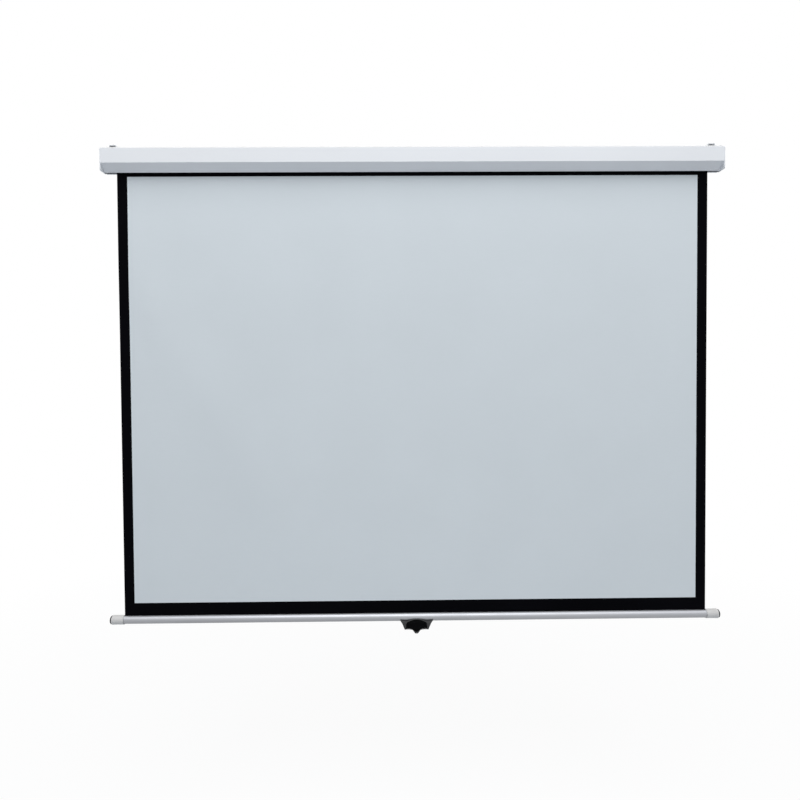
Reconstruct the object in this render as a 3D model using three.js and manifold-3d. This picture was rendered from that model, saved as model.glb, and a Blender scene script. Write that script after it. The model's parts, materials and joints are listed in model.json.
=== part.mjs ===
// A manual pull-down projector screen, pulled down, in millimetres.
// X runs along the case, the front faces -Y and Z points up. The origin is on the flat back
// of the case, halfway along it and level with the roller's axis.
import * as THREE from 'three';
import { mergeVertices } from 'three/addons/utils/BufferGeometryUtils.js';
import Module from 'manifold-3d';

const wasm = await Module();
wasm.setup();

// Screen sheet: an 84-inch field, 4 wide to 3 high, with black borders
const fieldWidth = 1707;
const fieldHeight = 1280;
const sideBorder = 30;
const bottomBorder = 38;
const shownTopBorder = 10.5;
const sheetThickness = 0.5;

// Case: its section from the back face and the roller's axis, and its length past the sheet
const caseDepth = 86;
const frontTop = 17.5;
const frontFoot = 24.5;
const caseTop = 30;
const topFacetDepth = 26;
const lipDrop = 44.5;
const slotWidth = 16;
const backFoot = 18;
const caseWall = 1.5;
const endRoom = 33;
const plateThickness = 2;
const plateDrop = 47;

// Roller and its spring, and the room between the wound-up sheet and the back of the case
const rollRoom = 2.85;
const rollerRadius = 19;
const rollerWall = 1.2;
const spindleRadius = 4;
const springLength = 220;
const springCurls = 36;

// Bottom bar
const barRadius = 12.25;
const barOverhang = 34;

// Clearances: of flat seats, of pressed and bolted fits on the radius, and of running fits
const seatGap = 0.05;
const fitGap = 0.15;
const runGap = 0.3;
// How far a cutting tool runs past the face it opens
const overrun = 2;

// Places that follow from these
const fieldHalf = fieldWidth / 2;
const sheetHalf = fieldHalf + sideBorder;
const housingHalf = sheetHalf + endRoom;
const plateOuter = housingHalf + seatGap + plateThickness;
const fieldTop = -lipDrop - shownTopBorder;
const fieldFoot = fieldTop - fieldHeight;
const barHalf = sheetHalf + barOverhang;
const barZ = fieldFoot - bottomBorder - barRadius;
const wrapTurns = 2;
const wrapPitch = sheetThickness + fitGap;
const wrapInner = rollerRadius + 2 * fitGap;
const wrapOuter = wrapInner + wrapTurns * wrapPitch + sheetThickness;
const sheetDrop = lipDrop + shownTopBorder + fieldHeight + bottomBorder;
const woundUpRadius = Math.sqrt(wrapOuter ** 2 + sheetDrop * wrapPitch / Math.PI);
const rollerY = -caseWall - rollRoom - woundUpRadius;
const sheetY = rollerY - wrapOuter - runGap - sheetThickness / 2;
const lipY = sheetY - slotWidth / 2;
const rearLipY = sheetY + slotWidth / 2;

// Round pieces: sides of small, middling and large circles, all multiples of four
const smallSides = 12;
const midSides = 20;
const largeSides = 36;
const quarterTurn = Math.PI / 2;
const turn = 2 * Math.PI;
const mergeTolerance = 1e-4;

function finish(color, roughness, metalness) {
  return new THREE.MeshStandardMaterial({ color, roughness, metalness, flatShading: true });
}
const materials = {
  paint: finish(0xe3e5ea, 0.42, 0),
  steel: finish(0x9a9da3, 0.35, 0.9),
  darkSteel: finish(0x34363a, 0.45, 0.8),
  spring: finish(0x6e7178, 0.35, 0.9),
  aluminium: finish(0xc9ccd2, 0.32, 0.85),
  brass: finish(0xb89a5a, 0.35, 0.9),
  white: finish(0xd4dade, 0.85, 0),
  black: finish(0x0a0a0c, 0.8, 0),
  nylon: finish(0xe9e6dc, 0.5, 0),
  cream: finish(0xd9d6cf, 0.5, 0),
  rubber: finish(0x26262a, 0.8, 0),
  blackPlastic: finish(0x0d0d0f, 0.4, 0),
};

const screen = new THREE.Group();

function piece(name, geometry, material, parent = screen) {
  const mesh = new THREE.Mesh(closed(geometry), material);
  mesh.name = name;
  parent.add(mesh);
  return mesh;
}

// One body with shared corners, no collapsed faces, and its faces pointing out
function closed(geometry) {
  const bare = new THREE.BufferGeometry();
  bare.setAttribute('position', geometry.getAttribute('position').clone());
  if (geometry.index) bare.setIndex(geometry.index.clone());
  const merged = mergeVertices(bare, mergeTolerance);
  const at = merged.getAttribute('position');
  const corner = [new THREE.Vector3(), new THREE.Vector3(), new THREE.Vector3()];
  const kept = [];
  let volume = 0;
  for (let i = 0; i < merged.index.count; i += 3) {
    const face = [0, 1, 2].map((k) => merged.index.getX(i + k));
    if (new Set(face).size < face.length) continue;
    face.forEach((index, k) => corner[k].fromBufferAttribute(at, index));
    volume += corner[0].dot(corner[1].cross(corner[2]));
    kept.push(...face);
  }
  if (volume < 0) kept.reverse();
  merged.setIndex(kept);
  return merged;
}

function toSolid(geometry) {
  const body = closed(geometry);
  return new wasm.Manifold(new wasm.Mesh({
    numProp: 3,
    vertProperties: Float32Array.from(body.getAttribute('position').array),
    triVerts: Uint32Array.from(body.index.array),
  }));
}

function toGeometry(solid) {
  const mesh = solid.getMesh();
  const geometry = new THREE.BufferGeometry();
  geometry.setAttribute('position', new THREE.BufferAttribute(mesh.vertProperties, 3));
  geometry.setIndex(Array.from(mesh.triVerts));
  return geometry;
}

const cut = (base, ...tools) =>
  toGeometry(tools.reduce((solid, tool) => solid.subtract(toSolid(tool)), toSolid(base)));
const join = (base, ...others) =>
  toGeometry(others.reduce((solid, other) => solid.add(toSolid(other)), toSolid(base)));
const common = (base, other) => toGeometry(toSolid(base).intersect(toSolid(other)));

// Outlines are lists of [across, up] points
function outline(points, holes = []) {
  const vectors = (list) => list.map(([across, up]) => new THREE.Vector2(across, up));
  const shape = new THREE.Shape(vectors(points));
  shape.holes = holes.map((hole) => new THREE.Path(vectors(hole)));
  return shape;
}

function arc(radius, from, to, steps, across = 0, up = 0) {
  return Array.from({ length: steps + 1 }, (_, i) => {
    const angle = from + (to - from) * i / steps;
    return [across + radius * Math.cos(angle), up + radius * Math.sin(angle)];
  });
}

const circle = (radius, sides, across = 0, up = 0) =>
  arc(radius, 0, turn, sides, across, up).slice(0, sides);

// An open line of points given a thickness to the right of its way
function ribbon(points, thickness) {
  const sides = points.slice(1).map(([across, up], i) => {
    const run = new THREE.Vector2(across - points[i][0], up - points[i][1]).normalize();
    return new THREE.Vector2(run.y, -run.x);
  });
  const offset = points.map(([across, up], i) => {
    const before = sides[Math.max(i - 1, 0)];
    const after = sides[Math.min(i, sides.length - 1)];
    const middle = before.clone().add(after).normalize();
    const reach = thickness / middle.dot(before);
    return [across + reach * middle.x, up + reach * middle.y];
  });
  return [...points, ...offset.reverse()];
}

// Corners of a closed outline rounded by short arcs
function rounded(points, radius, steps) {
  return points.flatMap((corner, i) => {
    const here = new THREE.Vector2(...corner);
    const toBefore = new THREE.Vector2(...points.at(i - 1)).sub(here);
    const toAfter = new THREE.Vector2(...points[(i + 1) % points.length]).sub(here);
    const cutBack = Math.min(radius, toBefore.length() / 2, toAfter.length() / 2);
    const start = here.clone().addScaledVector(toBefore.normalize(), cutBack);
    const end = here.clone().addScaledVector(toAfter.normalize(), cutBack);
    const curve = new THREE.QuadraticBezierCurve(start, here, end);
    return curve.getPoints(steps).map((point) => [point.x, point.y]);
  });
}

function drawnOut(shape, length, across, up, along) {
  const settings = { depth: length, bevelEnabled: false };
  const geometry = new THREE.ExtrudeGeometry(shape, settings);
  return geometry.applyMatrix4(new THREE.Matrix4().makeBasis(across, up, along));
}
const unitX = new THREE.Vector3(1, 0, 0);
const unitY = new THREE.Vector3(0, 1, 0);
const unitZ = new THREE.Vector3(0, 0, 1);

// Prisms whose outline is [y, z] drawn along X, [x, z] along Y, or [x, y] along Z
const prismX = (shape, fromX, toX) =>
  drawnOut(shape, toX - fromX, unitY, unitZ, unitX).translate(fromX, 0, 0);
const prismY = (shape, fromY, toY) =>
  drawnOut(shape, toY - fromY, unitX, unitZ, unitY.clone().negate()).translate(0, toY, 0);
const prismZ = (shape, fromZ, toZ) =>
  drawnOut(shape, toZ - fromZ, unitX, unitY, unitZ).translate(0, 0, fromZ);

const rodX = (radius, sides, fromX, toX, y = 0, z = 0) =>
  prismX(outline(circle(radius, sides, y, z)), fromX, toX);
const rodZ = (radius, sides, fromZ, toZ, x = 0, y = 0) =>
  prismZ(outline(circle(radius, sides, x, y)), fromZ, toZ);
const block = (from, to) => new THREE.BoxGeometry(...to.map((high, k) => high - from[k]))
  .translate(...to.map((high, k) => (high + from[k]) / 2));

// A turned piece: its profile is a list of [radius, distance] points along the axis from fromX
function turned(profile, sides, fromX, towards = 1) {
  const points = profile.map(([radius, distance]) => new THREE.Vector2(radius, distance));
  const closesOnAxis = profile[0][0] === 0;
  if (!closesOnAxis) points.push(points[0].clone());
  return new THREE.LatheGeometry(points, sides)
    .rotateZ(-towards * quarterTurn)
    .translate(fromX, 0, 0);
}

// A screw or rivet that stands along +Z: the underside of its head is at zero
function fastener(headRadius, headHeight, shankRadius, shankLength) {
  const crownShare = 0.6;
  const domeShare = 0.75;
  const profile = [
    [0, -shankLength],
    [shankRadius, -shankLength],
    [shankRadius, 0],
    [headRadius, 0],
    [headRadius, headHeight * crownShare],
    [headRadius * domeShare, headHeight],
    [0, headHeight],
  ];
  const points = profile.map(([radius, up]) => new THREE.Vector2(radius, up));
  return new THREE.LatheGeometry(points, smallSides).rotateX(quarterTurn);
}

const mirrored = (geometry) => geometry.clone().scale(-1, 1, 1);

// Case housing: the shell's outer line from the front lip over the top to the rear lip
const boss = { radius: 4.2, inset: 3.6 };
const endScrew = { headRadius: 3.6, headHeight: 2.2, shankRadius: 2, shankLength: 16 };
const strapScrew = { headRadius: 3, headHeight: 1.9, shankRadius: 1.6, shankLength: 7 };
const lipBead = 1.8;
const shellLine = [
  [lipY, -lipDrop],
  [-caseDepth, -frontFoot],
  [-caseDepth, frontTop],
  [topFacetDepth - caseDepth, caseTop],
  [0, caseTop],
  [0, -backFoot],
  [rearLipY, -lipDrop],
];
const bossFromBack = -caseWall - boss.inset;
const bossFromFront = caseWall + boss.inset - caseDepth;
const bossPlaces = [
  [bossFromFront, frontTop - boss.inset],
  [bossFromFront, boss.inset - frontFoot],
  [bossFromBack, caseTop - caseWall - boss.inset],
  [bossFromBack, boss.inset - backFoot],
];

// Hanger straps: hat-shaped, standing on the case's top near each end
const strap = { length: 40, width: 24, foot: 9.5, lean: 2.5, rise: 6, thickness: 1.5 };
const strapEndInset = 3.5;
const strapFrontInset = 2;
const strapX = housingHalf - strapEndInset - strap.length / 2;
const strapFront = topFacetDepth - caseDepth + strapFrontInset;
const strapMiddleY = strapFront + strap.width / 2;
const strapScrewPlaces = [-1, 1].map((side) => side * (strap.length - strap.foot) / 2);

function housing() {
  const length = [-housingHalf, housingHalf];
  const shell = prismX(outline(ribbon(shellLine, caseWall)), ...length);
  const beads = [shellLine[0], shellLine.at(-1)].map(([y, z]) =>
    rodX(lipBead, smallSides, ...length, y, z + caseWall / 2));
  const bosses = bossPlaces.map(([y, z]) => rodX(boss.radius, midSides, ...length, y, z));
  const channels = bossPlaces.map(([y, z]) =>
    rodX(endScrew.shankRadius + fitGap, smallSides, -housingHalf - overrun, housingHalf + overrun, y, z));
  const strapHoles = [-strapX, strapX].flatMap((x) => strapScrewPlaces.map((place) =>
    rodZ(strapScrew.shankRadius + fitGap, smallSides, caseTop - caseWall - overrun,
      caseTop + overrun, x + place, strapMiddleY)));
  return cut(join(shell, ...beads, ...bosses), ...channels, ...strapHoles);
}

// End plates: flat steel, level along the foot under the front and rising to the wall behind
const plateRim = 0.8;
const plateFootDepth = 34;
const plateCorner = 4;
const plateCornerSteps = 3;
const holder = { width: 30, depth: 11, corner: 5, cornerSteps: 3 };
const rivet = { headRadius: 3.2, headHeight: 1.5, shankRadius: 1.6, grip: 8, spread: 10.5 };
const rivetPlaces = [-1, 1].map((side) => [side * rivet.spread, -side * rivet.spread]);

function endPlate() {
  const front = -caseDepth - plateRim;
  const corners = [
    [front, -plateDrop],
    [plateFootDepth - caseDepth, -plateDrop],
    [0, -backFoot],
    [0, caseTop + plateRim],
    [topFacetDepth - caseDepth, caseTop + plateRim],
    [front, frontTop],
  ];
  const holes = [
    ...bossPlaces.map(([y, z]) => circle(endScrew.shankRadius + fitGap, smallSides, y, z)),
    ...rivetPlaces.map(([y, z]) => circle(rivet.shankRadius + fitGap, smallSides, rollerY + y, z)),
  ];
  const shape = outline(rounded(corners, plateCorner, plateCornerSteps), holes);
  return prismX(shape, housingHalf + seatGap, plateOuter);
}

function hangerStrap() {
  const halfLength = strap.length / 2;
  const halfBridge = halfLength - strap.foot;
  const top = caseTop + seatGap;
  const line = [
    [-halfLength, top],
    [-halfBridge, top],
    [strap.lean - halfBridge, top + strap.rise],
    [halfBridge - strap.lean, top + strap.rise],
    [halfBridge, top],
    [halfLength, top],
  ];
  const hat = outline(ribbon(line.reverse(), strap.thickness));
  const band = prismY(hat, strapFront, strapFront + strap.width);
  const holes = strapScrewPlaces.map((place) =>
    rodZ(strapScrew.shankRadius + fitGap, smallSides, caseTop - overrun,
      top + strap.thickness + overrun, place, strapMiddleY));
  return cut(band, ...holes).translate(strapX, 0, 0);
}

piece('case_housing', housing(), materials.paint);
const leftAndRight = [['left', mirrored], ['right', (geometry) => geometry]];
for (const [side, placed] of leftAndRight) {
  piece(`end_plate_${side}`, placed(endPlate()), materials.paint);
  piece(`hanger_strap_${side}`, placed(hangerStrap()), materials.paint);
  bossPlaces.forEach(([y, z], i) => {
    const screw = fastener(endScrew.headRadius, endScrew.headHeight, endScrew.shankRadius,
      endScrew.shankLength).rotateY(quarterTurn).translate(plateOuter + seatGap, y, z);
    piece(`end_screw_${side}_${i + 1}`, placed(screw), materials.steel);
  });
  strapScrewPlaces.forEach((place, i) => {
    const headSeat = caseTop + strap.thickness + 2 * seatGap;
    const screw = fastener(strapScrew.headRadius, strapScrew.headHeight, strapScrew.shankRadius,
      strapScrew.shankLength).translate(strapX + place, strapMiddleY, headSeat);
    piece(`strap_screw_${side}_${i + 1}`, placed(screw), materials.darkSteel);
  });
}

// Holders: moulded blocks on the inside of the end plates, on the roller's axis
const holderInner = housingHalf - holder.depth;
const tang = { thickness: 3, length: 8.7 };
const bushWall = 3;
const bushBore = spindleRadius + 1.5 * fitGap;
const bushOuter = spindleRadius + bushWall;
const blindFloor = 1;
const onAxis = new THREE.Group();
onAxis.position.y = rollerY;
screen.add(onAxis);

function holderBlock(sideOpening) {
  const half = holder.width / 2;
  const square = [[-half, -half], [half, -half], [half, half], [-half, half]];
  const shape = outline(rounded(square, holder.corner, holder.cornerSteps));
  const rivetHoles = rivetPlaces.map(([y, z]) =>
    rodX(rivet.shankRadius + fitGap, smallSides, housingHalf - rivet.grip - fitGap,
      housingHalf + overrun, y, z));
  return cut(prismX(shape, holderInner, housingHalf), sideOpening, ...rivetHoles);
}

const tangPocket = block(
  [holderInner - overrun, -tang.thickness / 2 - fitGap, -spindleRadius - fitGap],
  [holderInner + tang.length + runGap, tang.thickness / 2 + fitGap, spindleRadius + fitGap]);
const bushPocket = rodX(bushOuter + fitGap, midSides, holderInner - overrun, housingHalf - blindFloor);
piece('spindle_holder', mirrored(holderBlock(tangPocket)), materials.nylon, onAxis);
piece('idler_holder', holderBlock(bushPocket), materials.nylon, onAxis);
for (const [side, placed] of leftAndRight) {
  rivetPlaces.forEach(([y, z], i) => {
    const shaft = fastener(rivet.headRadius, rivet.headHeight, rivet.shankRadius,
      rivet.grip + plateThickness).rotateY(quarterTurn).translate(plateOuter + seatGap, y, z);
    piece(`holder_rivet_${side}_${i + 1}`, placed(shaft), materials.steel, onAxis);
  });
}

// Roller: tube, left cap on a bush round the still spindle, right plug with the idler pin
const flange = { thickness: 3, gapToHolder: 6.7 };
const flangeOuter = holderInner - flange.gapToHolder;
const tubeHalf = flangeOuter - flange.thickness - seatGap;
const tubeInner = rollerRadius - rollerWall;
const capReach = 20;
const stub = { radius: 9, length: 10, bore: 5 };
const collarReach = 10;
const collarGap = 0.6;
const pinInFlange = 2.5;
const idlerPinInset = 18;
const collar = { radius: 9.5, thickness: 2 };

const rollerTube = outline(circle(rollerRadius, largeSides), [circle(tubeInner, largeSides)]);
piece('roller_tube', prismX(rollerTube, -tubeHalf, tubeHalf), materials.aluminium, onAxis);

const capProfile = [
  [bushOuter + fitGap, 0],
  [rollerRadius, 0],
  [rollerRadius, flange.thickness],
  [tubeInner - fitGap, flange.thickness],
  [tubeInner - fitGap, flange.thickness + capReach],
  [stub.radius, flange.thickness + capReach],
  [stub.radius, flange.thickness + capReach + stub.length],
  [stub.bore, flange.thickness + capReach + stub.length],
  [stub.bore, capReach],
  [bushOuter + fitGap, capReach],
];

// Ratchet disc on the spindle and the pawls on the cap, in one plane beside it
const disc = { radius: 10.5, thickness: 4, notchDepth: 2.8, notchHalfAngle: 0.3, rampAngle: 0.25 };
const pawl = { boss: 2.7, pivotRadius: 14.2, lag: 0.66, endRadius: 13.6, halfWidth: 1.3, thickness: 3 };
const tooth = { depth: 2.6, width: 2.2, draft: 0.3 };
const pawlPin = { radius: 1.4, headRadius: 2.3, head: 0.8 };
const pawlAngles = { pawl_a: 0, pawl_b: Math.PI };
const pawlPivot = new THREE.Vector2(
  pawl.pivotRadius * Math.cos(quarterTurn + pawl.lag),
  pawl.pivotRadius * Math.sin(quarterTurn + pawl.lag));
const pawlFace = -flangeOuter - runGap;

function rollerCap() {
  const body = turned(capProfile, largeSides, -flangeOuter);
  const pinHoles = Object.values(pawlAngles).map((angle) => {
    const place = pawlPivot.clone().rotateAround(new THREE.Vector2(), angle);
    return rodX(pawlPin.radius + fitGap, smallSides, -flangeOuter - overrun,
      pinInFlange + fitGap - flangeOuter, place.x, place.y);
  });
  return cut(body, ...pinHoles);
}
piece('roller_cap', rollerCap(), materials.darkSteel, onAxis);
const capBushRing = outline(circle(bushOuter, midSides), [circle(bushBore, midSides)]);
const capBush = prismX(capBushRing, -flangeOuter, capReach - runGap - flangeOuter);
piece('cap_bush', capBush, materials.brass, onAxis);

const plugProfile = [
  [spindleRadius + fitGap, 0],
  [rollerRadius, 0],
  [rollerRadius, flange.thickness],
  [tubeInner - fitGap, flange.thickness],
  [tubeInner - fitGap, flange.thickness + capReach],
  [spindleRadius + fitGap, flange.thickness + capReach],
];
piece('roller_plug', turned(plugProfile, largeSides, flangeOuter, -1), materials.darkSteel, onAxis);
const idlerPinEnd = housingHalf - blindFloor - 2 * runGap;
const idlerPin = rodX(spindleRadius, midSides, flangeOuter - idlerPinInset, idlerPinEnd);
piece('idler_pin', idlerPin, materials.steel, onAxis);
const idlerBushProfile = [
  [bushBore, 0],
  [collar.radius, 0],
  [collar.radius, collar.thickness],
  [bushOuter, collar.thickness],
  [bushOuter, collar.thickness + holder.depth - blindFloor],
  [bushBore, collar.thickness + holder.depth - blindFloor],
];
const idlerBush = turned(idlerBushProfile, midSides, holderInner - collar.thickness - runGap);
piece('idler_bush', idlerBush, materials.nylon, onAxis);

// Spindle, held still: flats on its outer end, the ratchet disc and the spring's anchor on it
const springFrom = runGap + flange.thickness + capReach - flangeOuter;
const springTo = springFrom + springLength;
const anchorEnd = springTo + runGap + collarReach;
const spindleEnd = anchorEnd + overrun;
const spindleStart = -holderInner - tang.length;

function spindle() {
  const rod = rodX(spindleRadius, midSides, spindleStart, spindleEnd);
  const flats = [-1, 1].map((side) => {
    const near = side * tang.thickness / 2;
    const far = side * (spindleRadius + overrun);
    return block(
      [spindleStart - overrun, Math.min(near, far), -spindleRadius - overrun],
      [-holderInner, Math.max(near, far), spindleRadius + overrun]);
  });
  return cut(rod, ...flats);
}
piece('spring_spindle', spindle(), materials.steel, onAxis);

function discOutline() {
  const floor = disc.radius - disc.notchDepth;
  const stepsPerHalf = 12;
  const half = (middle) => {
    const lockWall = middle - disc.notchHalfAngle;
    const rampFoot = middle + disc.notchHalfAngle;
    const rim = arc(disc.radius, rampFoot + disc.rampAngle, lockWall + Math.PI, stepsPerHalf);
    const notch = [...arc(floor, lockWall, rampFoot, 2)];
    return [...notch, ...rim];
  };
  return [...half(quarterTurn), ...half(quarterTurn + Math.PI)];
}
const discShape = outline(discOutline(), [circle(spindleRadius + fitGap, midSides)]);
const ratchetDisc = prismX(discShape, pawlFace - disc.thickness, pawlFace);
piece('ratchet_disc', ratchetDisc, materials.darkSteel, onAxis);

const anchorProfile = [
  [spindleRadius + fitGap, 0],
  [stub.radius, 0],
  [stub.radius, stub.length],
  [tubeInner - collarGap, stub.length],
  [tubeInner - collarGap, stub.length + collarReach],
  [spindleRadius + fitGap, stub.length + collarReach],
];
const anchorStart = anchorEnd - stub.length - collarReach;
piece('spring_anchor', turned(anchorProfile, largeSides, anchorStart), materials.nylon, onAxis);

// Torsion spring: one round wire wound on a cylinder, its ends running straight along the axis
const wire = { radius: 1, coilRadius: 11.7, bend: 2.5, sides: 5, bendSteps: 3, stepsPerCurl: 8 };

// The wire's way on the unrolled cylinder, as [along the axis, round it] points
function unrolledSpring() {
  const straight = 2 * wire.radius;
  const round = springCurls * turn * wire.coilRadius;
  const rise = springLength - 2 * (straight + wire.bend);
  const slope = Math.atan2(round, rise);
  const from = [springFrom + straight, 0];
  const entry = arc(wire.bend, -quarterTurn, slope - quarterTurn, wire.bendSteps, from[0], wire.bend);
  const [entryX, entryRound] = entry.at(-1);
  const lastX = springTo - straight;
  const exit = entry.map(([along, about]) => [along, about]).reverse();
  const exitX = (along) => lastX - (along - from[0]);
  const coilSteps = springCurls * wire.stepsPerCurl;
  const coil = Array.from({ length: coilSteps - 1 }, (_, i) => {
    const share = (i + 1) / coilSteps;
    return [entryX + share * (exitX(entryX) - entryX), entryRound + share * round];
  });
  const exitRound = (about) => 2 * entryRound + round - about;
  const bentOut = exit.map(([along, about]) => [exitX(along), exitRound(about)]);
  return [[springFrom, 0], ...entry, ...coil, ...bentOut, [springTo, bentOut.at(-1)[1]]];
}

function springPoints() {
  return unrolledSpring().map(([along, round]) => {
    const angle = round / wire.coilRadius;
    return new THREE.Vector3(along, wire.coilRadius * Math.cos(angle), wire.coilRadius * Math.sin(angle));
  });
}

// A closed tube of few sides along a line of points
function sweptTube(points, radius, sides) {
  const rings = [];
  const side = new THREE.Vector3(0, 1, 0);
  points.forEach((point, i) => {
    const before = points[Math.max(i - 1, 0)];
    const after = points[Math.min(i + 1, points.length - 1)];
    const way = after.clone().sub(before).normalize();
    side.addScaledVector(way, -side.dot(way)).normalize();
    const up = way.clone().cross(side);
    rings.push(Array.from({ length: sides }, (_, k) => point.clone()
      .addScaledVector(side, radius * Math.cos(turn * k / sides))
      .addScaledVector(up, radius * Math.sin(turn * k / sides))));
  });
  const faces = [];
  for (let i = 0; i + 1 < rings.length; i += 1) {
    for (let k = 0; k < sides; k += 1) {
      const [a, b] = [i * sides + k, i * sides + (k + 1) % sides];
      faces.push(a, b, b + sides, a, b + sides, a + sides);
    }
  }
  const last = (rings.length - 1) * sides;
  for (let k = 1; k + 1 < sides; k += 1) {
    faces.push(0, k + 1, k, last, last + k, last + k + 1);
  }
  const geometry = new THREE.BufferGeometry().setFromPoints(rings.flat());
  geometry.setIndex(faces);
  return geometry;
}

// Least gap between curls, measured on points at least half a curl apart along the wire
function leastGap(points, radius, apart) {
  let least = Infinity;
  for (let i = 0; i < points.length; i += 1) {
    for (let j = i + apart; j < points.length; j += 1) {
      least = Math.min(least, points[i].distanceTo(points[j]) - 2 * radius);
    }
  }
  return least;
}
const springLine = springPoints();
const curlGap = leastGap(springLine, wire.radius, wire.stepsPerCurl / 2);
console.log(`torsion spring: least gap between curls ${curlGap.toFixed(2)} mm`);
piece('torsion_spring', sweptTube(springLine, wire.radius, wire.sides), materials.spring, onAxis);

// Pawls, drawn clear of the disc with each tooth over a notch, and their pins
function pawlOutline(armLength) {
  const joint = Math.asin(pawl.halfWidth / pawl.boss);
  const toothStart = armLength - tooth.width;
  return [
    ...arc(pawl.boss, joint, turn - joint, smallSides),
    [toothStart, -pawl.halfWidth],
    [toothStart + tooth.draft, -tooth.depth],
    [armLength - tooth.draft, -tooth.depth],
    [armLength, -pawl.halfWidth],
    [armLength, pawl.halfWidth],
  ];
}

for (const [name, angle] of Object.entries(pawlAngles)) {
  const place = new THREE.Group();
  place.rotation.x = angle;
  onAxis.add(place);
  const arm = new THREE.Vector2(0, pawl.endRadius).sub(pawlPivot);
  const shape = outline(pawlOutline(arm.length()), [circle(pawlPin.radius + fitGap, smallSides)]);
  const lever = piece(name, prismX(shape, pawlFace - pawl.thickness, pawlFace), materials.steel, place);
  lever.position.set(0, pawlPivot.x, pawlPivot.y);
  lever.rotation.x = arm.angle();
  const headSeat = pawlFace - pawl.thickness - runGap;
  const profile = [
    [0, headSeat - pawlPin.head],
    [pawlPin.headRadius, headSeat - pawlPin.head],
    [pawlPin.headRadius, headSeat],
    [pawlPin.radius, headSeat],
    [pawlPin.radius, pinInFlange - flangeOuter],
    [0, pinInFlange - flangeOuter],
  ];
  const pin = piece(`${name}_pin`, turned(profile, smallSides, 0), materials.steel, place);
  pin.position.set(0, pawlPivot.x, pawlPivot.y);
}

// Turns of sheet left on the roller, as one spiral band that ends level with the axis in front
function wrapOutline() {
  const steps = wrapTurns * largeSides;
  const side = (extra) => Array.from({ length: steps + 1 }, (_, i) => {
    const angle = Math.PI + turn * (i - steps) / largeSides;
    const radius = wrapInner + extra + wrapPitch * i / largeSides;
    return [radius * Math.cos(angle), radius * Math.sin(angle)];
  });
  return [...side(sheetThickness), ...side(0).reverse()];
}
piece('sheet_wraps', prismX(outline(wrapOutline()), -sheetHalf, sheetHalf), materials.black, onAxis);

// Hanging sheet: white field with its black borders, from the roller to the bottom border
const sheetBack = sheetY + sheetThickness / 2;
const sheetFront = sheetY - sheetThickness / 2;
const panel = (x, z) => block([x[0], sheetFront, z[0]], [x[1], sheetBack, z[1]]);
const besideField = [fieldHalf + seatGap, sheetHalf];
const fieldSpan = [fieldFoot, fieldTop];
piece('view_field', panel([-fieldHalf, fieldHalf], fieldSpan), materials.white);
piece('border_top', panel([-sheetHalf, sheetHalf], [fieldTop + seatGap, 0]), materials.black);
for (const [side, placed] of leftAndRight) {
  piece(`border_${side}`, placed(panel(besideField, fieldSpan)), materials.black);
}

// Bottom bar: a round extrusion with a hem channel along the top and a hollow below it
const bar = new THREE.Group();
bar.position.set(0, sheetY, barZ);
screen.add(bar);
const channel = { radius: 3.7, height: 6.2, slot: 1.8 };
const hollow = { radius: 5.6, drop: 4.6 };
const hemRodRadius = 2.5;
const hemInner = hemRodRadius + runGap;
const hemOuter = hemInner + sheetThickness;
const handleScrew = { headRadius: 3.2, headHeight: 2.2, shankRadius: 1.5, shankLength: 9, x: 29 };
const screwFloor = 4.75;
const screwSeat = -barRadius - screwFloor;

function barOutline() {
  const rimGap = Math.asin(channel.slot / 2 / barRadius);
  const channelGap = Math.asin(channel.slot / 2 / channel.radius);
  return [
    ...arc(barRadius, quarterTurn + rimGap, quarterTurn - rimGap + turn, largeSides - 1),
    ...arc(channel.radius, quarterTurn - channelGap, quarterTurn + channelGap - turn,
      midSides - 1, 0, channel.height),
  ];
}

function weightBar() {
  const section = outline(barOutline(), [circle(hollow.radius, midSides, 0, -hollow.drop)]);
  const holes = [-1, 1].map((side) =>
    rodZ(handleScrew.shankRadius + fitGap, smallSides, -barRadius - overrun, -hollow.drop,
      side * handleScrew.x));
  return cut(prismX(section, -barHalf, barHalf), ...holes);
}
piece('weight_bar', weightBar(), materials.aluminium, bar);
const hemRod = rodX(hemRodRadius, midSides, -sheetHalf, sheetHalf, 0, channel.height);
piece('hem_rod', hemRod, materials.nylon, bar);

// Bottom border: the end of the sheet, looped round the hem rod inside the bar's channel
function bottomBorderOutline() {
  const neck = Math.asin(sheetThickness / 2 / hemOuter);
  const top = fieldFoot - seatGap - barZ;
  return [
    [sheetThickness / 2, top],
    [-sheetThickness / 2, top],
    ...arc(hemOuter, quarterTurn + neck, quarterTurn - neck + turn, midSides, 0, channel.height),
  ];
}
const bottomShape = outline(bottomBorderOutline(), [circle(hemInner, midSides, 0, channel.height)]);
piece('border_bottom', prismX(bottomShape, -sheetHalf, sheetHalf), materials.black, bar);

// End sleeves over the bar's ends, each closed by a soft end plug
const sleeve = { wall: 1.4, floor: 3, flare: 0.5, round: 1.2, from: 0.8, hole: 3 };
const plug = { radius: 12.4, thickness: 4.4, round: 1.5 };
const sleeveFrom = sheetHalf + sleeve.from;
const sleeveTo = barHalf + seatGap + sleeve.floor;
const sleeveLength = sleeveTo - sleeveFrom;
const sleeveInner = barRadius + fitGap;
const sleeveOuter = sleeveInner + sleeve.wall;
const sleeveProfile = [
  [sleeveInner, 0],
  [sleeveOuter - sleeve.round / 2, 0],
  [sleeveOuter, sleeve.round / 2],
  [sleeveOuter, sleeveLength / 2],
  [sleeveOuter + sleeve.flare, sleeveLength - sleeve.round],
  [sleeveOuter + sleeve.flare - sleeve.round, sleeveLength],
  [sleeve.hole + fitGap, sleeveLength],
  [sleeve.hole + fitGap, sleeveLength - sleeve.floor],
  [sleeveInner, sleeveLength - sleeve.floor],
];
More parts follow.
